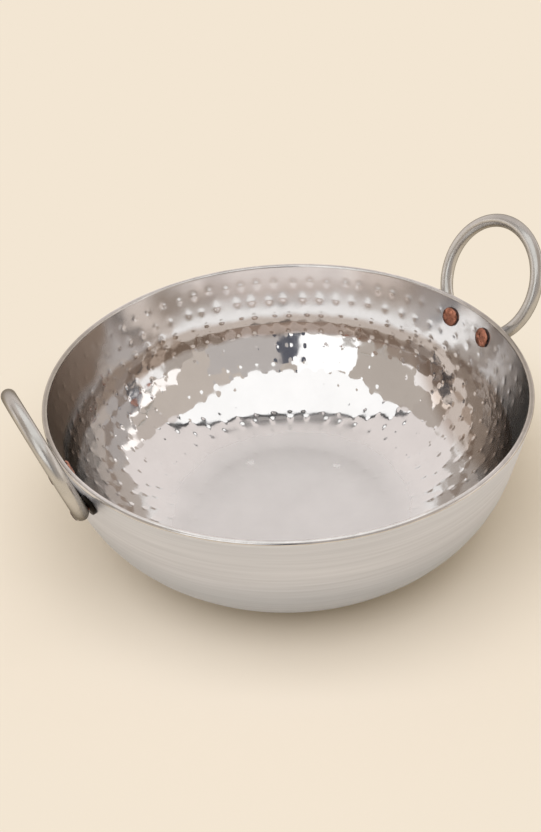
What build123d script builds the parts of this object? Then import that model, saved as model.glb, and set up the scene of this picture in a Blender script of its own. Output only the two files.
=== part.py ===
from build123d import *
import os
from math import asin, atan2, cos, degrees, radians, sin, sqrt, tan

# Round kadai: a deep metal bowl with two ring handles, each held by two copper rivets.
# Frame: the origin is at the centre of the flat base, +Z is up, and +X runs to the right handle.
# Lengths are in millimetres and angles in degrees.

# Bowl
rim_diameter = 280.0
bowl_height = 98.0
base_diameter = 112.0
wall_thickness = 3.2
wall_flare = 12.2
rim_round = 0.8

# Ring of each handle: a round rod bent into a ring with a flat bottom
rod_diameter = 8.0
ring_corner_radius = 8.0

# Each ring was closed, bent and riveted by hand, so the two differ a little
ring_diameters = {"right": 72.5, "left": 70.5}
ring_rises = {"right": 30.2, "left": 27.0}
ring_lean_angles = {"right": 24.4, "left": 16.4}
ring_twist_angles = {"right": 0.0, "left": -5.3}
handle_azimuths = {"right": 0.0, "left": 180.0}
# Sense of turn, seen from above, that leads from each handle's middle towards -Y
front_turn_signs = {"right": -1, "left": 1}

# Foot of each handle: the rod forged thick and flat against the wall
foot_drop = 13.0
foot_length = 46.0
foot_height = 10.0
foot_depth = 8.2
foot_outer_round = 3.0
foot_inner_round = 2.4
seat_gap = 0.05

# Rivets. The pair is not centred on the foot: it lies a little towards -Y.
rivet_spacing = 31.6
rivet_shift = 3.0
shank_diameter = 5.0
shank_clearance = 0.05
head_diameter = 12.0
head_thickness = 2.3
head_round = 0.8
tail_diameter = 6.0
tail_thickness = 1.0
tail_round = 0.5
tail_margin = 0.4

# Past this a cutting shape always leaves the piece
cut_overrun = 10.0

rim_radius = rim_diameter / 2
base_radius = base_diameter / 2
flare = radians(wall_flare)
foot_level = bowl_height - foot_drop

# The outer wall is a straight cone that meets one large round at the base. Its radius makes
# the round tangent to both the base and the cone.
knuckle_radius = ((rim_radius - base_radius) * cos(flare) - bowl_height * sin(flare)) / (1 - sin(flare))
knuckle_centre = (base_radius, knuckle_radius)
knuckle_angle = 90 - wall_flare


def wall_radius(level):
    """Radius of the outer wall's cone at a height above the base."""
    return rim_radius - (bowl_height - level) * tan(flare)


def wall_point(azimuth, level):
    """Point on the outer wall's cone."""
    turn = radians(azimuth)
    return Vector(wall_radius(level) * cos(turn), wall_radius(level) * sin(turn), level)


def leaning_plane(origin, azimuth, lean):
    """Plane that faces outwards: x is level, y runs up and leans out, z points out."""
    turn, tilt = radians(azimuth), radians(lean)
    outward = (cos(turn) * cos(tilt), sin(turn) * cos(tilt), -sin(tilt))
    return Plane(origin=origin, x_dir=(-sin(turn), cos(turn), 0), z_dir=outward)


# Places of the rivets along the foot, from the handle's middle towards -Y
rivet_places = {"front": rivet_shift + rivet_spacing / 2, "back": rivet_shift - rivet_spacing / 2}


def rivet_plane(side, end):
    """Plane of one rivet on the outer wall, square to it."""
    turn = degrees(asin(rivet_places[end] / wall_radius(foot_level)))
    azimuth = handle_azimuths[side] + front_turn_signs[side] * turn
    return leaning_plane(wall_point(azimuth, foot_level), azimuth, wall_flare)


rivet_planes = {(side, end): rivet_plane(side, end) for side in handle_azimuths for end in rivet_places}

# The foot is straight and the wall is round, so its seat is cut to the wall between the rivets
# and its ends stand a little off
seat_sink = wall_radius(foot_level) - sqrt(wall_radius(foot_level) ** 2 - (rivet_spacing / 2) ** 2)


def foot_plane(side):
    """Plane of the foot's inner face before the seat is cut, level with the rivets."""
    azimuth = handle_azimuths[side]
    on_wall = leaning_plane(wall_point(azimuth, foot_level), azimuth + ring_twist_angles[side], wall_flare)
    return on_wall.offset(-seat_sink)


def ring_plane(side):
    """Plane of the ring, hinged on the foot's middle line."""
    middle = foot_plane(side).offset(foot_depth / 2).origin
    return leaning_plane(middle, handle_azimuths[side] + ring_twist_angles[side], ring_lean_angles[side])


def tail_seat(side, end):
    """Distance from the outer wall to the seat that is spot faced for the rivet's tail."""
    axis = rivet_planes[side, end]
    face = foot_plane(side).offset(foot_depth)
    slope = axis.z_dir.dot(face.z_dir)
    reach = (face.origin - axis.origin).dot(face.z_dir) / slope
    return reach - (tail_diameter / 2 + tail_margin) * sqrt(1 - slope**2) / slope


os.makedirs("parts", exist_ok=True)

# Bowl: one wall of even thickness turned about the axis, with a flat rim and four rivet holes
with BuildPart() as bowl:
    with BuildSketch(Plane.XZ):
        with BuildLine():
            outer_round = CenterArc(knuckle_centre, knuckle_radius, -90, knuckle_angle)
            inner_round = CenterArc(knuckle_centre, knuckle_radius - wall_thickness, -90, knuckle_angle)
            Line((0, 0), outer_round @ 0)
            Line(outer_round @ 1, (rim_radius, bowl_height))
            Line((rim_radius, bowl_height), (rim_radius - wall_thickness / cos(flare), bowl_height))
            Line((rim_radius - wall_thickness / cos(flare), bowl_height), inner_round @ 1)
            Line(inner_round @ 0, (0, wall_thickness))
            Line((0, wall_thickness), (0, 0))
        make_face()
    revolve(axis=Axis.Z)
    fillet(bowl.edges().group_by(Axis.Z)[-1], radius=rim_round)
    with Locations(*rivet_planes.values()):
        Cylinder(
            radius=shank_diameter / 2 + shank_clearance,
            height=2 * (wall_thickness + cut_overrun),
            mode=Mode.SUBTRACT,
        )
bowl.part.label = "bowl"
export_step(bowl.part, "parts/bowl.step")

# Handles: a rod ring, flat at the bottom, that is forged into a foot and riveted to the wall
for side in handle_azimuths:
    ring = ring_plane(side)
    rise = ring_rises[side]
    ring_radius = ring_diameters[side] / 2
    corner_rise = rise - ring_corner_radius
    corner_reach = sqrt((ring_radius - ring_corner_radius) ** 2 - corner_rise**2)
    corner_turn = degrees(atan2(corner_rise, corner_reach))
    with BuildPart() as handle:
        with BuildSketch(foot_plane(side)):
            SlotOverall(foot_length, foot_height)
        extrude(amount=foot_depth)
        foot_edges = handle.edges().group_by(lambda edge: foot_plane(side).to_local_coords(edge.center()).Z)
        fillet(foot_edges[-1], radius=foot_outer_round)
        foot_edges = handle.edges().group_by(lambda edge: foot_plane(side).to_local_coords(edge.center()).Z)
        fillet(foot_edges[0], radius=foot_inner_round)
        with BuildLine(ring):
            bottom = Line((-corner_reach, 0), (corner_reach, 0))
            right_corner = (corner_reach, ring_corner_radius)
            left_corner = (-corner_reach, ring_corner_radius)
            CenterArc(right_corner, ring_corner_radius, -90, 90 - corner_turn)
            CenterArc((0, rise), ring_radius, -corner_turn, 180 + 2 * corner_turn)
            CenterArc(left_corner, ring_corner_radius, 180 + corner_turn, 90 - corner_turn)
        with BuildSketch(Plane(origin=bottom @ 0, z_dir=bottom % 0)):
            Circle(rod_diameter / 2)
        sweep()
        seat_low = foot_level - foot_height
        with Locations((0, 0, seat_low)):
            Cone(
                bottom_radius=wall_radius(seat_low) + seat_gap,
                top_radius=wall_radius(bowl_height) + seat_gap,
                height=bowl_height - seat_low,
                align=(Align.CENTER, Align.CENTER, Align.MIN),
                mode=Mode.SUBTRACT,
            )
        for end in rivet_places:
            axis = rivet_planes[side, end]
            with Locations(axis):
                Cylinder(
                    radius=shank_diameter / 2 + shank_clearance,
                    height=2 * (foot_depth + cut_overrun),
                    mode=Mode.SUBTRACT,
                )
            with Locations(axis.offset(tail_seat(side, end))):
                Cylinder(
                    radius=tail_diameter / 2 + tail_margin,
                    height=cut_overrun,
                    align=(Align.CENTER, Align.CENTER, Align.MIN),
                    mode=Mode.SUBTRACT,
                )
    handle.part.label = f"handle_{side}"
    export_step(handle.part, f"parts/handle_{side}.step")

# Rivets: a flat head inside the bowl, a shank through wall and foot, and a tail hammered over
# on the foot. The head is flat and the wall is hollow there, so the head's seat allows for that.
inner_radius = wall_radius(foot_level) - wall_thickness / cos(flare)
head_gap = seat_gap + inner_radius - sqrt(inner_radius**2 - (head_diameter / 2) ** 2)
for side, end in rivet_planes:
    axis = rivet_planes[side, end]
    head_seat = axis.offset(-wall_thickness - head_gap)
    tail_base = tail_seat(side, end) + seat_gap
    with BuildPart() as rivet:
        with BuildSketch(head_seat):
            Circle(head_diameter / 2)
        extrude(amount=-head_thickness)
        head_face = rivet.faces().sort_by(lambda face: axis.to_local_coords(face.center()).Z)[0]
        fillet(head_face.edges(), radius=head_round)
        with BuildSketch(head_seat):
            Circle(shank_diameter / 2)
        extrude(amount=wall_thickness + head_gap + tail_base)
        with BuildSketch(axis.offset(tail_base)):
            Circle(tail_diameter / 2)
        extrude(amount=tail_thickness)
        tail_face = rivet.faces().sort_by(lambda face: axis.to_local_coords(face.center()).Z)[-1]
        fillet(tail_face.edges(), radius=tail_round)
    rivet.part.label = f"rivet_{side}_{end}"
    export_step(rivet.part, f"parts/rivet_{side}_{end}.step")
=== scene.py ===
import random
from math import asin, atan2, cos, hypot, pi, radians, sin, tan

import bmesh
import bpy
from bpy.props import FloatProperty, FloatVectorProperty, IntProperty, PointerProperty
from bpy.types import Operator, Panel, PropertyGroup
from mathutils import Matrix, Quaternion, Vector, noise


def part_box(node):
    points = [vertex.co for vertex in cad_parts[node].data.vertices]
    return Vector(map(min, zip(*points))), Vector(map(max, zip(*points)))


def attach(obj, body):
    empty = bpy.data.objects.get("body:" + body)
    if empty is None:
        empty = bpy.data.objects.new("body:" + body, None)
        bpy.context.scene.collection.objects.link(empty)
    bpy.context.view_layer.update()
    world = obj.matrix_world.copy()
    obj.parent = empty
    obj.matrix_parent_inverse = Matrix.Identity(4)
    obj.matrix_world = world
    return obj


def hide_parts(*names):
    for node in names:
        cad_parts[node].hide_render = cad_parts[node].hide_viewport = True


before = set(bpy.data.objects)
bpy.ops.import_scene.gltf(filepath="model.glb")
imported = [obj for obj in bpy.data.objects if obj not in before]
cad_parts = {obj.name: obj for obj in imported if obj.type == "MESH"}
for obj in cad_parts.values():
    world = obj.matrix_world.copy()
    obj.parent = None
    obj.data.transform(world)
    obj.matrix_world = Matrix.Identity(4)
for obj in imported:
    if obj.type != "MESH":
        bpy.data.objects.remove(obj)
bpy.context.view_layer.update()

bl_info = {
    "name": "Kadai",
    "version": (1, 0, 0),
    "blender": (4, 5, 0),
    "location": "View3D > Sidebar > Kadai",
    "description": "Makes a hammered kadai with two riveted ring handles, and a plain studio around it",
    "category": "Object",
}

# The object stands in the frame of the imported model: metres, +Z up, base at the origin
BODY = "root"
BOWL_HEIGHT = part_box("bowl")[1].z
RIM_RADIUS = 0.14
UP = Vector((0, 0, 1))
# The handles and their azimuths
SIDES = {"right": 0.0, "left": pi}

# The photograph's frame in pixels, and the pixel of the rim's centre in it
PHOTO_SIZE = (541, 832)
RIM_CENTRE_PIXEL = (286.377, 379.480)


# Sizes and colours

class KadaiBowl(PropertyGroup):
    """Sizes of the bowl and of the marks of the hammer inside it."""
    base_radius: FloatProperty(name="Base radius", description="Radius of the flat base",
                               default=0.056, unit="LENGTH")
    wall: FloatProperty(name="Wall", description="Thickness of the metal", default=0.0032, unit="LENGTH")
    flare: FloatProperty(name="Flare", description="Lean of the upper wall",
                         default=radians(12.2), subtype="ANGLE")
    rim_round: FloatProperty(name="Rim round", description="Rounding of the rim's two edges",
                             default=0.0015, unit="LENGTH")
    segments: IntProperty(name="Segments", description="Steps of the turn", default=720, min=24)
    dent_pitch: FloatProperty(name="Dent pitch", description="Distance of the dents along a row",
                              default=0.0115, unit="LENGTH")
    dent_radius: FloatProperty(name="Dent radius", description="Radius of one hammer dent",
                               default=0.0022, unit="LENGTH")
    dent_depth: FloatProperty(name="Dent depth", description="Depth of one hammer dent",
                              default=0.0003, unit="LENGTH")
    dish_radius: FloatProperty(name="Dish radius", description="Reach of the shallow dish around a dent",
                               default=0.0058, unit="LENGTH")
    dish_depth: FloatProperty(name="Dish depth", description="Depth of the shallow dish around a dent",
                              default=0.00006, unit="LENGTH")
    wave_length: FloatProperty(name="Wave length", description="Length of the long waves of the inner face",
                               default=0.03, unit="LENGTH")
    wave_height: FloatProperty(name="Wave height", description="Height of the long waves of the inner face",
                               default=0.00012, unit="LENGTH")
    metal: FloatVectorProperty(name="Metal", description="Colour of the polished inner face",
                               subtype="COLOR", default=(0.86, 0.845, 0.84))
    rim_metal: FloatVectorProperty(name="Rim metal", description="Colour of the dull cut rim",
                                   subtype="COLOR", default=(0.76, 0.735, 0.715))
    skin: FloatVectorProperty(name="Skin", description="Colour of the brushed outer face",
                              subtype="COLOR", default=(0.7, 0.718, 0.775))


class KadaiFittings(PropertyGroup):
    """Sizes and colours of the handles and the rivets."""
    foot_drop: FloatProperty(name="Foot drop", description="Depth of the rivets below the rim",
                             default=0.013, unit="LENGTH")
    rivet_spacing: FloatProperty(name="Rivet spacing", description="Distance of a handle's two rivets",
                                 default=0.0316, unit="LENGTH")
    rivet_shift: FloatProperty(name="Rivet shift", description="How far the pair is off the foot's middle",
                               default=0.003, unit="LENGTH")
    rod_metal: FloatVectorProperty(name="Rod metal", description="Colour of the handles", subtype="COLOR",
                                   default=(0.6, 0.58, 0.55))
    head_radius: FloatProperty(name="Head radius", description="Radius of a rivet's head",
                               default=0.006, unit="LENGTH")
    head_thickness: FloatProperty(name="Head thickness", description="Thickness of a rivet's head",
                                  default=0.0023, unit="LENGTH")
    shank_radius: FloatProperty(name="Shank radius", description="Radius of a rivet's shank",
                                default=0.0025, unit="LENGTH")
    # The collar is a dark disc that stands for the shade in the gap between the wall and a handle's foot
    shade_collar_radius: FloatProperty(name="Collar radius",
                                 description="Radius where the shank swelled between wall and foot",
                                 default=0.006, unit="LENGTH")
    tail_radius: FloatProperty(name="Tail radius", description="Radius of a rivet's tail",
                               default=0.003, unit="LENGTH")
    tail_thickness: FloatProperty(name="Tail thickness", description="Thickness of a rivet's tail",
                                  default=0.001, unit="LENGTH")
    blow_size: FloatProperty(name="Blow size", description="Size of the hammer's marks on a rivet's head",
                             default=0.0028, unit="LENGTH")
    blow_depth: FloatProperty(name="Blow depth",
                              description="Depth of the hammer's marks on a rivet's head",
                              default=0.0006, unit="LENGTH")
    copper: FloatVectorProperty(name="Copper", description="Colour of the rivets", subtype="COLOR",
                                default=(0.62, 0.27, 0.18))
    # Dark copper on the tails, and painted shade on the heads' sides
    dark_copper_and_shade: FloatVectorProperty(name="Browned copper",
                                 description="Colour of the tails and of the heads' sides",
                                 subtype="COLOR", default=(0.085, 0.035, 0.026))
    # Painted shade in the gap between the wall and a handle's foot, on the collar
    gap_shade: FloatVectorProperty(name="Painted_gap_shade", description="Colour of copper gone nearly black",
                                 subtype="COLOR", default=(0.03, 0.025, 0.02))


class KadaiStudio(PropertyGroup):
    """Camera, light and floor."""
    azimuth: FloatProperty(name="Azimuth", description="Side of the camera, from -Y towards +X",
                           default=radians(-32.2), subtype="ANGLE")
    elevation: FloatProperty(name="Elevation", description="Angle of the camera above the rim's centre",
                             default=radians(33.972), subtype="ANGLE")
    distance: FloatProperty(name="Distance", description="Distance of the camera from the rim's centre",
                            default=0.66334, unit="LENGTH")
    roll: FloatProperty(name="Roll", description="Tilt of the camera about its line of sight",
                        default=radians(-2.494), subtype="ANGLE")
    lens: FloatProperty(name="Lens", description="Focal length in millimetres", default=50.0)
    sensor: FloatProperty(name="Sensor", description="Long side of the sensor in millimetres", default=36.0)
    fill: FloatProperty(name="Fill", description="Strength of the even light all round", default=0.36)
    paper: FloatVectorProperty(name="Paper", description="Colour of the floor and the background",
                               subtype="COLOR", default=(0.896, 0.791, 0.651))


# Node groups and materials

# The part of a mask's values over which colour and roughness change
PATCH_RANGE = (0.3, 0.7)
# Roughness of the mirror wall, and what the floor, the band under the rim, the nicks and the side with
# painted shade add to it
MIRROR_ROUGHNESS = (0.04, 0.08)
FLOOR_ROUGHNESS = 0.36
BAND_ROUGHNESS = 0.07
NICK_ROUGHNESS = -0.22
SHADED_SIDE_ROUGHNESS = 0.2
# Worn metal is dark and brownish where it is seen at a grazing angle, and the handles' rods less so
EDGE_TINT = (0.14, 0.122, 0.105)
ROD_EDGE_TINT = (0.3, 0.28, 0.25)
# Share of the inner face's metal that no dull film covers
BARE_SHARE = 0.94
# Polishing marks: scale of the soft waves as a share of the grain's, and the grain's share of the
# height
WAVE_SCALE, GRAIN_HEIGHT = 0.12, 0.3
# Turned lines: length that a radian counts for, and scale of the streaks as a share of the lines'
RADIAN_LENGTH, STREAK_SCALE = 0.004, 0.2

# Each zone begins and ends softly, from the first number of a pair to the second, and noise of this
# height makes its edge a little ragged. Radii of the worn floor's edge come first, then heights of
# the edge of the band under the rim.
RAGGED = 0.008
FLOOR_EDGE = (0.094, 0.058)
BAND_EDGE = (0.062, 0.078)
# Painted shade: what is left of the metal's colour where shade is painted, fully high up on one side,
# and less in a ring of painted dark reflection and low down on the other side. A side has a direction,
# distances along it, and heights.
PAINTED_SHADE_TINT = (0.55, 0.46, 0.39)
MILD_SHADE_SHARE = 0.8
SHADE_RING_BOTTOM, SHADE_RING_TOP = (0.0495, 0.0535), (0.067, 0.062)
SHADED_SIDE, SHADED_SIDE_REACH, SHADED_SIDE_HEIGHT = radians(152), (0.113, 0.126), (0.064, 0.074)
SHADED_SIDE_RAGGED = 0.02
LOW_SHADED_SIDE, LOW_SHADED_REACH, LOW_SHADED_HEIGHT = radians(-17), (0.104, 0.112), (0.062, 0.052)
# Painted shade: what is left of the rim's colour at its two sides as the camera sees them, with the
# direction from one side to the other
RIM_SHADE_TINT = (0.58, 0.55, 0.5)
RIM_SHADE_CROSS, RIM_SHADE_REACH = radians(-32.2), (0.1, 0.134)
# Middles of the floor's two small nicks, the edge of each, and how far noise cuts into it
NICKS = ((0.0024, 0.0522, 0.0032), (0.0454, 0.0169, 0.0032))
NICK_EDGE = (0.0066, 0.0048)
NICK_STAR = 0.007
# Painted shade: what is left of the outer face's colour on its lower half
BASE_SHADE_TINT = (0.83, 0.85, 0.86)
BASE_SHADE_EDGE = (0.072, 0.044)


def new_group(name, inputs, outputs):
    """Shader node group with named sockets. Returns the group, its input node and its output node."""
    group = bpy.data.node_groups.new(name, "ShaderNodeTree")
    for title, kind, default in inputs:
        socket = group.interface.new_socket(title, in_out="INPUT", socket_type=kind)
        socket.default_value = default
    for title, kind in outputs:
        group.interface.new_socket(title, in_out="OUTPUT", socket_type=kind)
    return group, group.nodes.new("NodeGroupInput"), group.nodes.new("NodeGroupOutput")


def maths(tree, operation, first, second=0.0, third=0.0):
    """Math node whose inputs are sockets or numbers. Returns its output."""
    node = tree.nodes.new("ShaderNodeMath")
    node.operation = operation
    for socket, value in zip(node.inputs, (first, second, third)):
        if isinstance(value, bpy.types.NodeSocket):
            tree.links.new(value, socket)
        else:
            socket.default_value = value
    return node.outputs[0]


def noise_value(tree, vector, scale, detail, roughness=0.5):
    """Noise texture on a vector. Returns its value."""
    node = tree.nodes.new("ShaderNodeTexNoise")
    node.inputs["Detail"].default_value = detail
    node.inputs["Roughness"].default_value = roughness
    tree.links.new(vector, node.inputs["Vector"])
    if isinstance(scale, bpy.types.NodeSocket):
        tree.links.new(scale, node.inputs["Scale"])
    else:
        node.inputs["Scale"].default_value = scale
    return node.outputs["Fac"]


def placed_group(tree, group, **values):
    """Group node on the tree's Object coordinates, with its inputs set by name."""
    place = tree.nodes.new("ShaderNodeTexCoord")
    node = tree.nodes.new("ShaderNodeGroup")
    node.node_tree = group
    tree.links.new(place.outputs["Object"], node.inputs["Place"])
    for title, value in values.items():
        node.inputs[title].default_value = value
    return node


def group_polish():
    """Marks that polishing leaves on metal: fine pits, soft waves and cloudy patches."""
    group, given, made = new_group(
        "polish_marks",
        [("Place", "NodeSocketVector", (0, 0, 0)), ("Grain", "NodeSocketFloat", 900.0),
         ("Cloud", "NodeSocketFloat", 30.0)],
        [("Height", "NodeSocketFloat"), ("Patches", "NodeSocketFloat")])
    place, fine = given.outputs["Place"], given.outputs["Grain"]
    grain = noise_value(group, place, fine, detail=3.0)
    soft = noise_value(group, place, maths(group, "MULTIPLY", fine, WAVE_SCALE), detail=2.0)
    cloud = noise_value(group, place, given.outputs["Cloud"], detail=4.0, roughness=0.6)
    group.links.new(maths(group, "MULTIPLY_ADD", grain, GRAIN_HEIGHT, soft), made.inputs["Height"])
    group.links.new(cloud, made.inputs["Patches"])
    return group


def radius_and_height(group, vector):
    """Distance of a place from the axis, and its x, y and height."""
    split = group.nodes.new("ShaderNodeSeparateXYZ")
    group.links.new(vector, split.inputs[0])
    x, y, z = split.outputs
    squares = maths(group, "ADD", maths(group, "MULTIPLY", x, x), maths(group, "MULTIPLY", y, y))
    return maths(group, "SQRT", squares), x, y, z


def step_mask(group, value, start, end):
    """Soft step from none at one value to all at another. Either may be the larger."""
    spread = group.nodes.new("ShaderNodeMapRange")
    spread.interpolation_type = "SMOOTHSTEP"
    group.links.new(value, spread.inputs["Value"])
    spread.inputs["From Min"].default_value = start
    spread.inputs["From Max"].default_value = end
    return spread.outputs["Result"]


def reach_along(group, x, y, azimuth):
    """Distance from the axis along a level direction."""
    return maths(group, "MULTIPLY_ADD", x, cos(azimuth), maths(group, "MULTIPLY", y, sin(azimuth)))


def group_zones():
    """Masks of the inner face and the rim: worn floor, soft band, painted shade, nicks, painted shade at
    the rim's sides.
    """
    group, given, made = new_group(
        "polish_zones", [("Place", "NodeSocketVector", (0, 0, 0))],
        [(title, "NodeSocketFloat") for title in ("Floor", "Band", "Painted_shade", "Darkened", "Nicks", "Painted_rim_shade")])
    place = given.outputs["Place"]
    radius, x, y, z = radius_and_height(group, place)
    ragged = noise_value(group, place, scale=60.0, detail=3.0)
    ragged = maths(group, "MULTIPLY_ADD", ragged, RAGGED, -RAGGED / 2)
    radius, z = maths(group, "ADD", radius, ragged), maths(group, "ADD", z, ragged)
    group.links.new(step_mask(group, radius, *FLOOR_EDGE), made.inputs["Floor"])
    group.links.new(step_mask(group, z, *BAND_EDGE), made.inputs["Band"])
    # A ring of painted dark reflection, and painted shade high up on one side and low down on the other
    ring = maths(group, "MULTIPLY", step_mask(group, z, *SHADE_RING_BOTTOM), step_mask(group, z, *SHADE_RING_TOP))
    reach = maths(group, "MULTIPLY_ADD", noise_value(group, place, scale=45.0, detail=3.0),
                  SHADED_SIDE_RAGGED, reach_along(group, x, y, SHADED_SIDE))
    high = maths(group, "MULTIPLY", step_mask(group, reach, *SHADED_SIDE_REACH),
                 step_mask(group, z, *SHADED_SIDE_HEIGHT))
    reach = reach_along(group, x, y, LOW_SHADED_SIDE)
    low = maths(group, "MULTIPLY", step_mask(group, reach, *LOW_SHADED_REACH),
                step_mask(group, z, *LOW_SHADED_HEIGHT))
    mild = maths(group, "MULTIPLY", maths(group, "MAXIMUM", ring, low), MILD_SHADE_SHARE)
    group.links.new(maths(group, "MAXIMUM", mild, high), made.inputs["Painted_shade"])
    group.links.new(high, made.inputs["Darkened"])
    # Painted shade on the rim's two sides as the camera sees them
    off_middle = maths(group, "ABSOLUTE", reach_along(group, x, y, RIM_SHADE_CROSS))
    group.links.new(step_mask(group, off_middle, *RIM_SHADE_REACH), made.inputs["Painted_rim_shade"])
    nicks = None
    for centre in NICKS:
        off = group.nodes.new("ShaderNodeVectorMath")
        off.operation = "DISTANCE"
        group.links.new(place, off.inputs[0])
        off.inputs[1].default_value = centre
        star = maths(group, "MULTIPLY_ADD", noise_value(group, place, scale=420.0, detail=1.0),
                     NICK_STAR, off.outputs["Value"])
        mask = step_mask(group, star, *NICK_EDGE)
        nicks = mask if nicks is None else maths(group, "MAXIMUM", nicks, mask)
    group.links.new(nicks, made.inputs["Nicks"])
    return group


def group_turned():
    """Lines that a lathe leaves round the axis, broken up along their length, and a mask of the lower half
    for painted shade.
    """
    group, given, made = new_group(
        "turned_lines",
        [("Place", "NodeSocketVector", (0, 0, 0)), ("Lines", "NodeSocketFloat", 1400.0)],
        [("Height", "NodeSocketFloat"), ("Streaks", "NodeSocketFloat"), ("Base", "NodeSocketFloat")])
    radius, x, y, z = radius_and_height(group, given.outputs["Place"])
    along = group.nodes.new("ShaderNodeCombineXYZ")
    turn = maths(group, "MULTIPLY", maths(group, "ARCTAN2", y, x), RADIAN_LENGTH)
    for value, socket in zip((turn, radius, z), along.inputs):
        group.links.new(value, socket)
    fine = given.outputs["Lines"]
    lines = noise_value(group, along.outputs[0], fine, detail=2.0, roughness=0.7)
    coarse = maths(group, "MULTIPLY", fine, STREAK_SCALE)
    streaks = noise_value(group, along.outputs[0], coarse, detail=3.0)
    group.links.new(lines, made.inputs["Height"])
    group.links.new(streaks, made.inputs["Streaks"])
    group.links.new(step_mask(group, z, *BASE_SHADE_EDGE), made.inputs["Base"])
    return group


def metal(name, tone, dark_share, roughness, marks, patches, bump_depth, edge_tint=(1, 1, 1), bare=1.0):
    """Metal whose colour and roughness follow a mask, with a bump from the output Height.

    marks is the group node's maker, patches is the name of the mask among its outputs, roughness is
    the pair that the mask runs between, edge_tint colours what is seen at a grazing angle, and bare
    is the share of the metal that no dull film covers.
    """
    material = bpy.data.materials.new(name)
    material.use_nodes = True
    tree = material.node_tree
    shader = tree.nodes["Principled BSDF"]
    shader.inputs["Metallic"].default_value = bare
    shader.inputs["Specular Tint"].default_value = (*edge_tint, 1)
    shader.inputs["Specular IOR Level"].default_value = 0.0
    source = marks(tree)
    ramp = tree.nodes.new("ShaderNodeValToRGB")
    dark, light = ramp.color_ramp.elements
    dark.position, light.position = PATCH_RANGE
    dark.color = (*(share * dark_share for share in tone), 1)
    light.color = (*tone, 1)
    tree.links.new(source.outputs[patches], ramp.inputs["Fac"])
    tree.links.new(ramp.outputs["Color"], shader.inputs["Base Color"])
    spread = tree.nodes.new("ShaderNodeMapRange")
    spread.inputs["From Min"].default_value, spread.inputs["From Max"].default_value = PATCH_RANGE
    spread.inputs["To Max"].default_value, spread.inputs["To Min"].default_value = roughness
    tree.links.new(source.outputs[patches], spread.inputs["Value"])
    tree.links.new(spread.outputs["Result"], shader.inputs["Roughness"])
    bump = tree.nodes.new("ShaderNodeBump")
    bump.inputs["Strength"].default_value = 1.0
    bump.inputs["Distance"].default_value = bump_depth
    tree.links.new(source.outputs["Height"], bump.inputs["Height"])
    tree.links.new(bump.outputs["Normal"], shader.inputs["Normal"])
    return material


def polished(name, tone, dark_share, roughness, grain, cloud, bump_depth, edge_tint=(1, 1, 1), bare=1.0):
    """Metal with polishing marks."""
    group = bpy.data.node_groups.get("polish_marks") or group_polish()
    return metal(name, tone, dark_share, roughness,
                 lambda tree: placed_group(tree, group, Grain=grain, Cloud=cloud),
                 "Patches", bump_depth, edge_tint, bare)


def paint_shade(material, mask, tint):
    """Paints shade: multiplies a metal's colour by a tint where a mask is set."""
    tree = material.node_tree
    colour = tree.nodes["Principled BSDF"].inputs["Base Color"]
    mix = tree.nodes.new("ShaderNodeMix")
    mix.data_type = "RGBA"
    mix.blend_type = "MULTIPLY"
    tree.links.new(mask, mix.inputs[0])
    tree.links.new(colour.links[0].from_socket, mix.inputs["A"])
    mix.inputs["B"].default_value = (*tint, 1)
    tree.links.new(mix.outputs["Result"], colour)


def inside_metal(tone):
    """Polished metal of the inner face: a satin floor, a mirror wall and a softer band under the rim."""
    material = polished("bowl_inside", tone, dark_share=0.95, roughness=MIRROR_ROUGHNESS, grain=700.0,
                        cloud=40.0, bump_depth=0.000003, edge_tint=EDGE_TINT, bare=BARE_SHARE)
    tree = material.node_tree
    shader = tree.nodes["Principled BSDF"]
    zones = placed_group(tree, group_zones())
    rough = shader.inputs["Roughness"].links[0].from_socket
    # The side with painted shade is also rougher
    for zone, added in (("Floor", FLOOR_ROUGHNESS), ("Band", BAND_ROUGHNESS), ("Nicks", NICK_ROUGHNESS),
                        ("Darkened", SHADED_SIDE_ROUGHNESS)):
        rough = maths(tree, "MULTIPLY_ADD", zones.outputs[zone], added, rough)
    tree.links.new(rough, shader.inputs["Roughness"])
    # Painted shade on two sides of the inner wall, and a ring of painted dark reflection
    paint_shade(material, zones.outputs["Painted_shade"], PAINTED_SHADE_TINT)
    return material


def rim_metal(tone):
    """Dull metal of the cut rim, with painted shade at its two sides."""
    material = polished("bowl_rim", tone, dark_share=0.8, roughness=(0.16, 0.28), grain=900.0,
                        cloud=90.0, bump_depth=0.00003)
    zones = placed_group(material.node_tree, bpy.data.node_groups["polish_zones"])
    paint_shade(material, zones.outputs["Painted_rim_shade"], RIM_SHADE_TINT)
    return material


def outside_metal(tone):
    """Satin metal of the outer face, with a lathe's lines round the axis, and painted shade on its lower
    half.
    """
    group = group_turned()
    material = metal("bowl_outside", tone, dark_share=0.9, roughness=(0.44, 0.5),
                     marks=lambda tree: placed_group(tree, group, Lines=2200.0), patches="Streaks",
                     bump_depth=0.00002)
    # Painted shade on the lower half
    paint_shade(material, placed_group(material.node_tree, group).outputs["Base"], BASE_SHADE_TINT)
    return material


# Meshes

def new_piece(name, mesh_source, materials, slot, *nodes):
    """Object from a bmesh that rides on the kadai and stands for CAD nodes. The slot is not used."""
    mesh = bpy.data.meshes.new(name)
    mesh_source.to_mesh(mesh)
    mesh_source.free()
    for material in materials:
        mesh.materials.append(material)
    mesh.polygons.foreach_set("use_smooth", [True] * len(mesh.polygons))
    piece = bpy.data.objects.new(name, mesh)
    bpy.context.scene.collection.objects.link(piece)
    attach(piece, BODY)
    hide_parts(*nodes)


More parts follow.
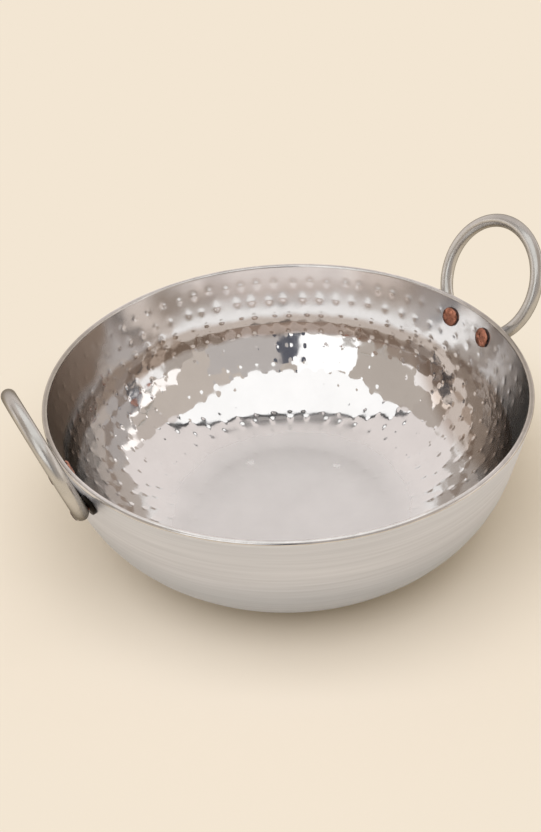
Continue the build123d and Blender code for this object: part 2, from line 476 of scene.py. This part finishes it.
def arc_points(centre, radius, start, turn, count):
    """Points on an arc in the plane of radius and height, both ends included."""
    angles = [start + turn * k / count for k in range(count + 1)]
    return [(centre[0] + radius * cos(angle), centre[1] + radius * sin(angle)) for angle in angles]


# Bowl

# Rows of dents: their places as shares of the rim's radius along the inner face from its centre,
# and the strength and size of each row's dents
DENT_ROWS = {
    0.32: (0.3, 1.0), 0.425: (0.45, 1.0), 0.54: (0.5, 1.0), 0.612: (1.1, 1.2), 0.66: (0.8, 1.05),
    0.72: (0.9, 1.0), 0.79: (1.0, 1.0), 0.85: (1.0, 1.0), 0.913: (1.0, 1.0), 0.982: (1.0, 1.0),
    1.046: (1.0, 1.0), 1.1: (0.9, 1.0), 1.145: (1.0, 1.05), 1.221: (0.8, 1.08), 1.303: (0.65, 1.05),
}
# Lines of the mesh across a row of dents, as shares of the dent's radius, and steps of each rounding
# of the rim and of the outer round
ROW_LINE_SHARES = (-1.05, -0.5, 0.0, 0.5, 1.05)
RIM_STEPS = 4
ROUND_STEPS = 12
# Seed of the dents' chance, how far a dent is off its even place, as a share of the pitch along its
# row and as a length across it, and ranges of its size and strength as shares of the row's
DENT_SEED = 7
DENT_SLIP = 0.14
DENT_RISE = 0.0006
DENT_SIZES = (0.8, 1.1)
DENT_STRENGTHS = (0.6, 1.15)
# Points closer than the first are one, and a point closer to a face than the second lies on it
SAME_POINT = 1e-6
ON_FACE = 1e-5


class InnerFace:
    """Inner face of the bowl as a line from the centre to the rim, measured along its length."""

    def __init__(self, sizes):
        self.base = sizes.base_radius
        self.level = sizes.wall
        self.lean = sizes.flare
        outer = (RIM_RADIUS - self.base) * cos(self.lean) - BOWL_HEIGHT * sin(self.lean)
        self.outer_round = outer / (1 - sin(self.lean))
        self.round = self.outer_round - sizes.wall
        self.turn = pi / 2 - self.lean
        self.knee = self.base + self.round * self.turn
        self.knee_height = self.point(self.knee)[1]
        top = BOWL_HEIGHT - sizes.rim_round
        self.length = self.knee + (top - self.knee_height) / cos(self.lean)

    def point(self, along):
        """Radius and height at a length from the centre."""
        if along <= self.base:
            return along, self.level
        angle = min((along - self.base) / self.round, self.turn)
        radius = self.base + self.round * sin(angle)
        height = self.level + self.round * (1 - cos(angle))
        rest = max(along - self.knee, 0.0)
        return radius + rest * sin(self.lean), height + rest * cos(self.lean)

    def into_metal(self, along):
        """Direction into the metal, as radius and height."""
        angle = min(max(along - self.base, 0.0) / self.round, self.turn)
        return sin(angle), -cos(angle)

    def place(self, radius, height):
        """Length from the centre to a point of the inner face, or None for a point of another face."""
        if radius <= self.base:
            return radius if abs(height - self.level) < ON_FACE else None
        if height <= self.knee_height + SAME_POINT:
            out, down = radius - self.base, self.level + self.round - height
            on_round = abs(hypot(out, down) - self.round) < ON_FACE
            return self.base + self.round * atan2(out, down) if on_round else None
        along = self.knee + (height - self.knee_height) / cos(self.lean)
        return along if abs(self.point(along)[0] - radius) < ON_FACE else None


class DentRow:
    """One ring of hammer dents on the inner face, each a little off its even place."""

    def __init__(self, face, share, sizes, chance):
        self.along = share * RIM_RADIUS
        self.radius = face.point(self.along)[0]
        self.count = max(3, round(2 * pi * self.radius / sizes.dent_pitch))
        self.start = chance.uniform(0, 2 * pi)
        strength, size = DENT_ROWS[share]
        self.dents = [(chance.uniform(-DENT_SLIP, DENT_SLIP), chance.uniform(-DENT_RISE, DENT_RISE),
                       chance.uniform(*DENT_SIZES) * size,
                       chance.uniform(*DENT_STRENGTHS) * strength) for _ in range(self.count)]

    def depth(self, along, azimuth, sizes):
        """Depth of the row's dents at a place."""
        place = (azimuth - self.start) / (2 * pi) * self.count
        total = 0.0
        for k in (int(place // 1), int(place // 1) + 1):
            slip, rise, size, strength = self.dents[k % self.count]
            across = (place - k - slip) * 2 * pi * self.radius / self.count
            off = hypot(across, along - self.along - rise)
            for reach, deep in ((sizes.dent_radius * size, sizes.dent_depth),
                                (sizes.dish_radius, sizes.dish_depth)):
                if off < reach:
                    total += deep * strength * (1 - (off / reach) ** 2) ** 2
        return total


def bowl_outline(face, sizes):
    """Outline of the wall from the middle of the inner face over the rim to the middle of the base."""
    rows = [share * RIM_RADIUS for share in DENT_ROWS]
    lines = [row + share * sizes.dent_radius * size
             for row, (_, size) in zip(rows, DENT_ROWS.values()) for share in ROW_LINE_SHARES]
    lines += [(a + b) / 2 for a, b in zip(rows, rows[1:])]
    lines += [0.0, rows[0] / 3, rows[0] / 1.5, (rows[-1] + face.length) / 2, face.length]
    inner = [face.point(along) for along in sorted(lines)]
    edge = sizes.rim_round
    outer_edge = RIM_RADIUS - edge * tan(sizes.flare)
    inner_edge = face.point(face.length)[0]
    rim = arc_points((inner_edge + edge, BOWL_HEIGHT - edge), edge, pi, -pi / 2, RIM_STEPS)[1:]
    rim += arc_points((outer_edge - edge, BOWL_HEIGHT - edge), edge, pi / 2, -pi / 2, RIM_STEPS)
    centre = (sizes.base_radius, face.outer_round)
    outer = arc_points(centre, face.outer_round, -sizes.flare, -face.turn, ROUND_STEPS)
    return inner + rim + outer + [(0.0, 0.0)]


# A wedge of the turn doubles this many times until it is whole
DOUBLINGS = 4


def turn_outline(mesh, points, steps):
    """Turns an outline of radius and height a full turn about Z into a closed skin.

    A wedge is turned and then doubled until it is whole, which is much faster than one long turn.
    """
    wedge = 2 * pi / 2 ** DOUBLINGS
    corners = [mesh.verts.new((radius, 0, height)) for radius, height in points]
    edges = [mesh.edges.new(pair) for pair in zip(corners, corners[1:])]
    bmesh.ops.spin(mesh, geom=corners + edges, cent=(0, 0, 0), axis=UP, dvec=(0, 0, 0), angle=wedge,
                   steps=steps // 2 ** DOUBLINGS, use_merge=False, use_duplicate=False)
    for k in range(DOUBLINGS):
        copy = bmesh.ops.duplicate(mesh, geom=mesh.verts[:] + mesh.edges[:] + mesh.faces[:])["geom"]
        bmesh.ops.rotate(mesh, verts=[part for part in copy if isinstance(part, bmesh.types.BMVert)],
                         cent=(0, 0, 0), matrix=Matrix.Rotation(wedge * 2 ** k, 3, "Z"))
    bmesh.ops.remove_doubles(mesh, verts=mesh.verts, dist=SAME_POINT)
    bmesh.ops.recalc_face_normals(mesh, faces=mesh.faces)


def hammer(mesh, face, sizes):
    """Presses the rows of dents and the long waves into the inner face."""
    chance = random.Random(DENT_SEED)
    rows = [DentRow(face, share, sizes, chance) for share in DENT_ROWS]
    for corner in mesh.verts:
        radius, height = hypot(corner.co.x, corner.co.y), corner.co.z
        if radius < SAME_POINT or height > BOWL_HEIGHT - sizes.rim_round - ON_FACE:
            continue
        along = face.place(radius, height)
        if along is None:
            continue
        azimuth = atan2(corner.co.y, corner.co.x)
        depth = sum(row.depth(along, azimuth, sizes) for row in rows
                    if abs(row.along - along) < sizes.dish_radius + sizes.dent_radius)
        fade = min(1.0, (face.length - along) / sizes.dish_radius)
        wave = noise.noise(corner.co / sizes.wave_length) * sizes.wave_height
        push_out, push_up = face.into_metal(along)
        outward = Vector((corner.co.x / radius, corner.co.y / radius, 0))
        corner.co += (outward * push_out + UP * push_up) * (depth + wave) * fade


class KADAI_OT_bowl(Operator):
    """Makes the hammered bowl in place of its CAD solid"""
    bl_idname = "kadai.bowl"
    bl_label = "Bowl"

    def execute(self, context):
        sizes = context.scene.kadai_bowl
        face = InnerFace(sizes)
        mesh = bmesh.new()
        turn_outline(mesh, bowl_outline(face, sizes), sizes.segments)
        hammer(mesh, face, sizes)
        finishes = [inside_metal(sizes.metal), outside_metal(sizes.skin), rim_metal(sizes.rim_metal)]
        inside, outside, rim = range(len(finishes))
        for skin in mesh.faces:
            centre = skin.calc_center_median()
            outward = Vector((centre.x, centre.y, 0))
            if centre.z > BOWL_HEIGHT - sizes.rim_round:
                skin.material_index = rim
            elif hypot(centre.x, centre.y) < face.base:
                skin.material_index = inside if centre.z > sizes.wall / 2 else outside
            else:
                skin.material_index = inside if skin.normal.dot(outward) < 0 else outside
        new_piece("hammered_bowl", mesh, finishes, "bowl", "bowl")
        return {"FINISHED"}


# Handles

class KADAI_OT_handles(Operator):
    """Gives the two ring handles their polished steel"""
    bl_idname = "kadai.handles"
    bl_label = "Handles"

    def execute(self, context):
        steel = polished("polished_rod", context.scene.kadai_fittings.rod_metal, dark_share=0.85,
                         roughness=(0.24, 0.32), grain=700.0, cloud=90.0, bump_depth=0.000005,
                         edge_tint=ROD_EDGE_TINT)
        for side in SIDES:
            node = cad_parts[f"handle_{side}"]
            node.data.materials.clear()
            node.data.materials.append(steel)
        return {"FINISHED"}


# Rivets

RIVET_STEPS = 64
# Domed head from its middle to its seat and tail from its seat to its middle, as shares of their
# radius and thickness, places of the four corners of the dark collar that stands for the shade in the
# gap as shares of the wall's thickness, and the collar's outer radius as a share of its inner one
HEAD_OUTLINE = ((0, 0), (0.3, 0.01), (0.55, 0.05), (0.74, 0.12), (0.87, 0.24), (0.95, 0.38), (0.99, 0.54),
                (1, 0.68), (1, 0.85), (0.96, 1))
TAIL_OUTLINE = ((1, 1), (1, 0.4), (0.8, 0.1), (0.5, 0), (0, 0))
SHADE_COLLAR_PLACES = (0.02, 0.03, 0.55, 0.6)
SHADE_COLLAR_TAPER = 0.97
# The blows mark this share of the head's thickness, and a skin whose normal points less into the bowl
# than this gets the dark copper: painted shade on the heads' sides
BLOW_SHARE = 0.6
SIDE_SLOPE = -0.35


def rivet_axis(side, end, bowl, fittings):
    """Point on the outer wall where a rivet goes through, and its direction outwards."""
    level = BOWL_HEIGHT - fittings.foot_drop
    radius = RIM_RADIUS - fittings.foot_drop * tan(bowl.flare)
    place = fittings.rivet_shift + fittings.rivet_spacing / 2 * (1 if end == "front" else -1)
    turn = asin(place / radius)
    azimuth = SIDES[side] + (turn if side == "left" else -turn)
    outwards = Vector((cos(azimuth) * cos(bowl.flare), sin(azimuth) * cos(bowl.flare), -sin(bowl.flare)))
    return Vector((radius * cos(azimuth), radius * sin(azimuth), level)), outwards


def rivet_outline(start, end, wall, fittings):
    """Outline of a rivet from the middle of its head to the middle of its tail, as radius and place."""
    shank, shade_collar = fittings.shank_radius, fittings.shade_collar_radius
    points = [(fittings.head_radius * radius, start + fittings.head_thickness * height)
              for radius, height in HEAD_OUTLINE]
    points.append((shank, start + fittings.head_thickness))
    points += [(radius, wall * place)
               for radius, place in zip((shank, shade_collar, shade_collar * SHADE_COLLAR_TAPER, shank), SHADE_COLLAR_PLACES)]
    points.append((shank, end - fittings.tail_thickness))
    points += [(fittings.tail_radius * radius, end - fittings.tail_thickness * height)
               for radius, height in TAIL_OUTLINE]
    return points


class KADAI_OT_rivets(Operator):
    """Makes the four hammered copper rivets"""
    bl_idname = "kadai.rivets"
    bl_label = "Rivets"

    def execute(self, context):
        bowl, fittings = context.scene.kadai_bowl, context.scene.kadai_fittings
        finishes = [
            polished("hammered_copper", fittings.copper, dark_share=0.45, roughness=(0.22, 0.42),
                     grain=900.0, cloud=420.0, bump_depth=0.0002),
            polished("dark_copper_and_painted_shade", fittings.dark_copper_and_shade, dark_share=0.6, roughness=(0.4, 0.5),
                     grain=900.0, cloud=260.0, bump_depth=0.00006),
            polished("gap_shade_copper", fittings.gap_shade, dark_share=0.5, roughness=(0.45, 0.6),
                     grain=1500.0, cloud=300.0, bump_depth=0.00003),
        ]
        copper, dark_copper_and_shade, gap_shade_slot = range(len(finishes))
        for side in SIDES:
            for end in ("front", "back"):
                origin, outwards = rivet_axis(side, end, bowl, fittings)
                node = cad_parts[f"rivet_{side}_{end}"]
                places = [(corner.co - origin).dot(outwards) for corner in node.data.vertices]
                start, stop = min(places), max(places)
                mesh = bmesh.new()
                turn_outline(mesh, rivet_outline(start, stop, bowl.wall, fittings), RIVET_STEPS)
                for corner in mesh.verts:
                    blow = noise.noise(corner.co / fittings.blow_size + origin / fittings.blow_size)
                    on_head = corner.co.z < start + fittings.head_thickness * BLOW_SHARE
                    if on_head and corner.co.xy.length > SAME_POINT:
                        corner.co.z += blow * fittings.blow_depth
                        corner.co.xy *= 1 + blow * fittings.blow_depth / fittings.head_radius
                bmesh.ops.rotate(mesh, verts=mesh.verts, cent=(0, 0, 0),
                                 matrix=UP.rotation_difference(outwards).to_matrix())
                bmesh.ops.translate(mesh, verts=mesh.verts, vec=origin)
                for skin in mesh.faces:
                    place = (skin.calc_center_median() - origin).dot(outwards)
                    # The collar and the shank in the gap get the painted gap shade
                    if 0 < place < bowl.wall:
                        skin.material_index = gap_shade_slot
                    # The tails get dark copper, and the heads' sides painted shade in the same dark copper
                    elif place > 0 or skin.normal.dot(outwards) > SIDE_SLOPE:
                        skin.material_index = dark_copper_and_shade
                    else:
                        skin.material_index = copper
                new_piece(f"copper_rivet_{side}_{end}", mesh, finishes, "rivets", f"rivet_{side}_{end}")
        return {"FINISHED"}


# Stage

# Cards that only reflections see. The far ones are arches about the studio's level cross axis,
# given by their angles in degrees above the far horizon, their angles to the left and right, and
# their colour.
ARCHES = {
    "card_low_paper": (-2, 32, -80, 80, (1.1, 1.02, 0.98)),
    "card_paper": (32, 52, -80, 80, (0.86, 0.795, 0.765)),
    "card_far": (52, 86, -47, 47, (0.83, 0.765, 0.735)),
    "card_far_left": (52, 86, -69, -46, (0.47, 0.41, 0.36)),
    "card_far_right": (52, 86, 46, 69, (0.56, 0.49, 0.44)),
    "card_room_left": (86, 182, -69, 0, (0.5, 0.44, 0.385)),
    "card_room_right": (86, 182, 0, 69, (0.58, 0.51, 0.45)),
    "card_wide_left": (50, 182, -80, -66, (0.98, 0.93, 0.9)),
    "card_wide_right": (52, 182, 67, 80, (1.4, 1.33, 1.28)),
    "card_low_right": (30, 52, 50, 80, (1.4, 1.33, 1.28)),
    "card_bright_left": (50, 76, -80, -64, (1.45, 1.38, 1.33)),
    "card_bright_right": (122, 147, 58, 80, (1.25, 1.19, 1.15)),
}
ARCH_DISTANCE = 1.6
# Each arch is this much nearer than the one before, which it hides
ARCH_STEP = 0.01
ARCH_FACETS = 24

# The near cards are flat: the softbox over the bowl with its frame, and what stands round the
# camera. Each is given by two edges as distances away from the camera's side and heights, by its
# left and right ends, and by its colour.
PANELS = {
    "card_soft": ((0.101, 0.308), (-0.275, 0.43), -0.205, 0.19, (1.17, 1.17, 1.16)),
    "card_frame": ((0.113, 0.304), (0.101, 0.308), -0.2, 0.22, (0.005, 0.005, 0.006)),
    "card_shade_soft": ((0.16, 0.288), (0.113, 0.304), -0.036, 0.032, (0.36, 0.335, 0.32)),
    "card_shade": ((0.137, 0.2958), (0.113, 0.3041), -0.028, 0.024, (0.07, 0.067, 0.066)),
    "card_side": ((-0.45, 0.17), (-0.45, 0.66), -0.46, -0.072, (1.3, 1.3, 1.29)),
    "card_dark": ((-0.45, 0.1), (-0.45, 0.52), -0.072, 0.016, (0.07, 0.075, 0.1)),
    "card_grey": ((-0.45, 0.1), (-0.45, 0.62), 0.016, 0.5, (0.52, 0.48, 0.455)),
}

# The soft lamp: angles above the far horizon and to the right, size, distance, and its share of the
# floor's light. The rest is the fill.
LAMP_ABOVE, LAMP_ASIDE = radians(114), radians(-6)
LAMP_WIDTH, LAMP_HEIGHT = 1.7, 1.4
LAMP_DISTANCE = 1.4
LAMP_SHARE = 0.82
LAMP_COLOUR = (1.0, 1.06, 1.2)
FILL_COLOUR = (1.0, 0.84, 0.52)
# Where the floor's shading gives way to the paper's plain colour, as distances from the object
FLOOR_FADE = (0.14, 0.27)


def glow(name, colour):
    """Material that shows its colour as written and lights nothing."""
    material = bpy.data.materials.new(name)
    material.use_nodes = True
    tree = material.node_tree
    tree.nodes.remove(tree.nodes["Principled BSDF"])
    shine = tree.nodes.new("ShaderNodeEmission")
    shine.inputs["Color"].default_value = (*colour, 1)
    tree.links.new(shine.outputs[0], tree.nodes["Material Output"].inputs["Surface"])
    material.cycles.emission_sampling = "NONE"
    return material


def stage_mesh(name, mesh_source, material, reflections_only):
    """Stage object from a bmesh."""
    mesh = bpy.data.meshes.new(name)
    mesh_source.to_mesh(mesh)
    mesh_source.free()
    mesh.materials.append(material)
    obj = bpy.data.objects.new(name, mesh)
    bpy.context.scene.collection.objects.link(obj)
    if reflections_only:
        obj.visible_camera = obj.visible_diffuse = obj.visible_shadow = obj.visible_transmission = False


def studio_axes(azimuth):
    """Level directions to the camera's right and away from the camera."""
    return Vector((cos(azimuth), sin(azimuth), 0)), Vector((-sin(azimuth), cos(azimuth), 0))


def make_cards(azimuth):
    """Arches round the object and panels near it, square to the camera's side."""
    cross, away = studio_axes(azimuth)
    for k, (name, (low, high, left, right, colour)) in enumerate(ARCHES.items()):
        distance = ARCH_DISTANCE - k * ARCH_STEP
        mesh = bmesh.new()
        start = (away * cos(radians(low)) + UP * sin(radians(low))) * distance
        ends = [mesh.verts.new(start + cross * distance * tan(radians(side))) for side in (left, right)]
        edge = mesh.edges.new(ends)
        bmesh.ops.spin(mesh, geom=ends + [edge], cent=(0, 0, 0), axis=cross, dvec=(0, 0, 0),
                       angle=radians(high - low), steps=ARCH_FACETS, use_merge=False, use_duplicate=False)
        stage_mesh(name, mesh, glow(name, colour), True)
    for name, (first, second, left, right, colour) in PANELS.items():
        mesh = bmesh.new()
        start, end = (away * reach + UP * height for reach, height in (first, second))
        edge = mesh.edges.new([mesh.verts.new(start + cross * side) for side in (left, right)])
        pulled = bmesh.ops.extrude_edge_only(mesh, edges=[edge])["geom"]
        bmesh.ops.translate(mesh, verts=[part for part in pulled if isinstance(part, bmesh.types.BMVert)],
                            vec=end - start)
        stage_mesh(name, mesh, glow(name, colour), True)


def make_floor(paper):
    """Pale floor that takes the object's shadow, and further out shows the paper's plain colour."""
    material = glow("floor_paper", paper)
    tree = material.node_tree
    shader = tree.nodes.new("ShaderNodeBsdfDiffuse")
    shader.inputs["Color"].default_value = (*paper, 1)
    place = tree.nodes.new("ShaderNodeTexCoord")
    length = tree.nodes.new("ShaderNodeVectorMath")
    length.operation = "LENGTH"
    tree.links.new(place.outputs["Object"], length.inputs[0])
    fade = tree.nodes.new("ShaderNodeMapRange")
    fade.interpolation_type = "SMOOTHSTEP"
    fade.inputs["From Min"].default_value, fade.inputs["From Max"].default_value = FLOOR_FADE
    tree.links.new(length.outputs["Value"], fade.inputs["Value"])
    mix = tree.nodes.new("ShaderNodeMixShader")
    tree.links.new(fade.outputs["Result"], mix.inputs[0])
    tree.links.new(shader.outputs[0], mix.inputs[1])
    tree.links.new(tree.nodes["Emission"].outputs[0], mix.inputs[2])
    tree.links.new(mix.outputs[0], tree.nodes["Material Output"].inputs["Surface"])
    mesh = bmesh.new()
    bmesh.ops.create_grid(mesh, x_segments=1, y_segments=1, size=8.0)
    stage_mesh("floor", mesh, material, False)


def make_world(paper, strength):
    """Even light all round, and the paper's colour where a camera or glossy ray goes past the floor."""
    world = bpy.data.worlds.new("studio")
    bpy.context.scene.world = world
    world.use_nodes = True
    tree = world.node_tree
    fill = tree.nodes["Background"]
    fill.inputs["Color"].default_value = (*FILL_COLOUR, 1)
    fill.inputs["Strength"].default_value = strength
    seen = tree.nodes.new("ShaderNodeBackground")
    seen.inputs["Color"].default_value = (*paper, 1)
    path = tree.nodes.new("ShaderNodeLightPath")
    looks = maths(tree, "MAXIMUM", path.outputs["Is Glossy Ray"], path.outputs["Is Transmission Ray"])
    looks = maths(tree, "MAXIMUM", path.outputs["Is Camera Ray"], looks)
    mix = tree.nodes.new("ShaderNodeMixShader")
    tree.links.new(looks, mix.inputs[0])
    tree.links.new(fill.outputs[0], mix.inputs[1])
    tree.links.new(seen.outputs[0], mix.inputs[2])
    tree.links.new(mix.outputs[0], tree.nodes["World Output"].inputs["Surface"])


def make_lamp(azimuth):
    """Soft lamp that faces the object. Reflections see its card instead."""
    cross, away = studio_axes(azimuth)
    lamp = bpy.data.lights.new("soft_lamp", "AREA")
    lamp.shape = "RECTANGLE"
    lamp.size = LAMP_WIDTH
    lamp.size_y = LAMP_HEIGHT
    lamp.color = LAMP_COLOUR
    level = away * cos(LAMP_ABOVE) + UP * sin(LAMP_ABOVE)
    place = (level + cross * tan(LAMP_ASIDE)) * LAMP_DISTANCE
    # A lamp of this power gives the floor at the origin the wanted share of a white's light
    lamp.energy = LAMP_SHARE * pi * pi * place.length ** 2 / place.normalized().z
    obj = bpy.data.objects.new("soft_lamp", lamp)
    bpy.context.scene.collection.objects.link(obj)
    obj.location = place
    obj.visible_glossy = False
    back = place.normalized()
    side = (cross - back * cross.dot(back)).normalized()
    obj.rotation_euler = Matrix((side, back.cross(side), back)).transposed().to_euler()


def make_camera(studio):
    """Camera that puts the rim's centre on its pixel of the photograph."""
    lens = bpy.data.cameras.new("camera")
    lens.lens = studio.lens
    lens.sensor_width = studio.sensor
    lens.clip_start = 0.01
    lens.clip_end = 100.0
    camera = bpy.data.objects.new("camera", lens)
    bpy.context.scene.collection.objects.link(camera)
    rim_centre = Vector((0, 0, BOWL_HEIGHT))
    azimuth, elevation = studio.azimuth, studio.elevation
    back = Vector((sin(azimuth) * cos(elevation), -cos(azimuth) * cos(elevation), sin(elevation)))
    pixels = studio.lens / studio.sensor * max(PHOTO_SIZE)
    right = (RIM_CENTRE_PIXEL[0] - PHOTO_SIZE[0] / 2) / pixels
    down = (RIM_CENTRE_PIXEL[1] - PHOTO_SIZE[1] / 2) / pixels
    forward = Vector((0, 0, -1))
    aim = (-back).to_track_quat("-Z", "Y") @ Quaternion(UP, studio.roll)
    camera.location = rim_centre + back * studio.distance
    camera.rotation_mode = "QUATERNION"
    camera.rotation_quaternion = aim @ Vector((right, -down, -1)).rotation_difference(forward)
    bpy.context.scene.camera = camera


class KADAI_OT_stage(Operator):
    """Makes the floor, the light, the cards and the camera"""
    bl_idname = "kadai.stage"
    bl_label = "Stage"

    def execute(self, context):
        studio = context.scene.kadai_studio
        context.scene.view_settings.view_transform = "Standard"
        make_floor(studio.paper)
        make_world(studio.paper, studio.fill)
        make_lamp(studio.azimuth)
        make_cards(studio.azimuth)
        make_camera(studio)
        return {"FINISHED"}


class KADAI_PT_panel(Panel):
    """Lists the kadai's operators and sizes"""
    bl_idname = "KADAI_PT_panel"
    bl_label = "Kadai"
    bl_space_type = "VIEW_3D"
    bl_region_type = "UI"
    bl_category = "Kadai"

    def draw(self, context):
        for operator in OPERATORS:
            self.layout.operator(operator.bl_idname)
        for name, group in GROUPS.items():
            box = self.layout.box()
            for prop in group.__annotations__:
                box.prop(getattr(context.scene, name), prop)


OPERATORS = (KADAI_OT_bowl, KADAI_OT_handles, KADAI_OT_rivets, KADAI_OT_stage)
GROUPS = {"kadai_bowl": KadaiBowl, "kadai_fittings": KadaiFittings, "kadai_studio": KadaiStudio}


def register():
    for cls in (*GROUPS.values(), *OPERATORS, KADAI_PT_panel):
        bpy.utils.register_class(cls)
    for name, group in GROUPS.items():
        setattr(bpy.types.Scene, name, PointerProperty(type=group))


def unregister():
    for name in GROUPS:
        delattr(bpy.types.Scene, name)
    for cls in reversed((*GROUPS.values(), *OPERATORS, KADAI_PT_panel)):
        bpy.utils.unregister_class(cls)


def main():
    register()
    bpy.ops.kadai.stage()
    bpy.ops.kadai.bowl()
    bpy.ops.kadai.handles()
    bpy.ops.kadai.rivets()


if __name__ == "__main__":
    main()
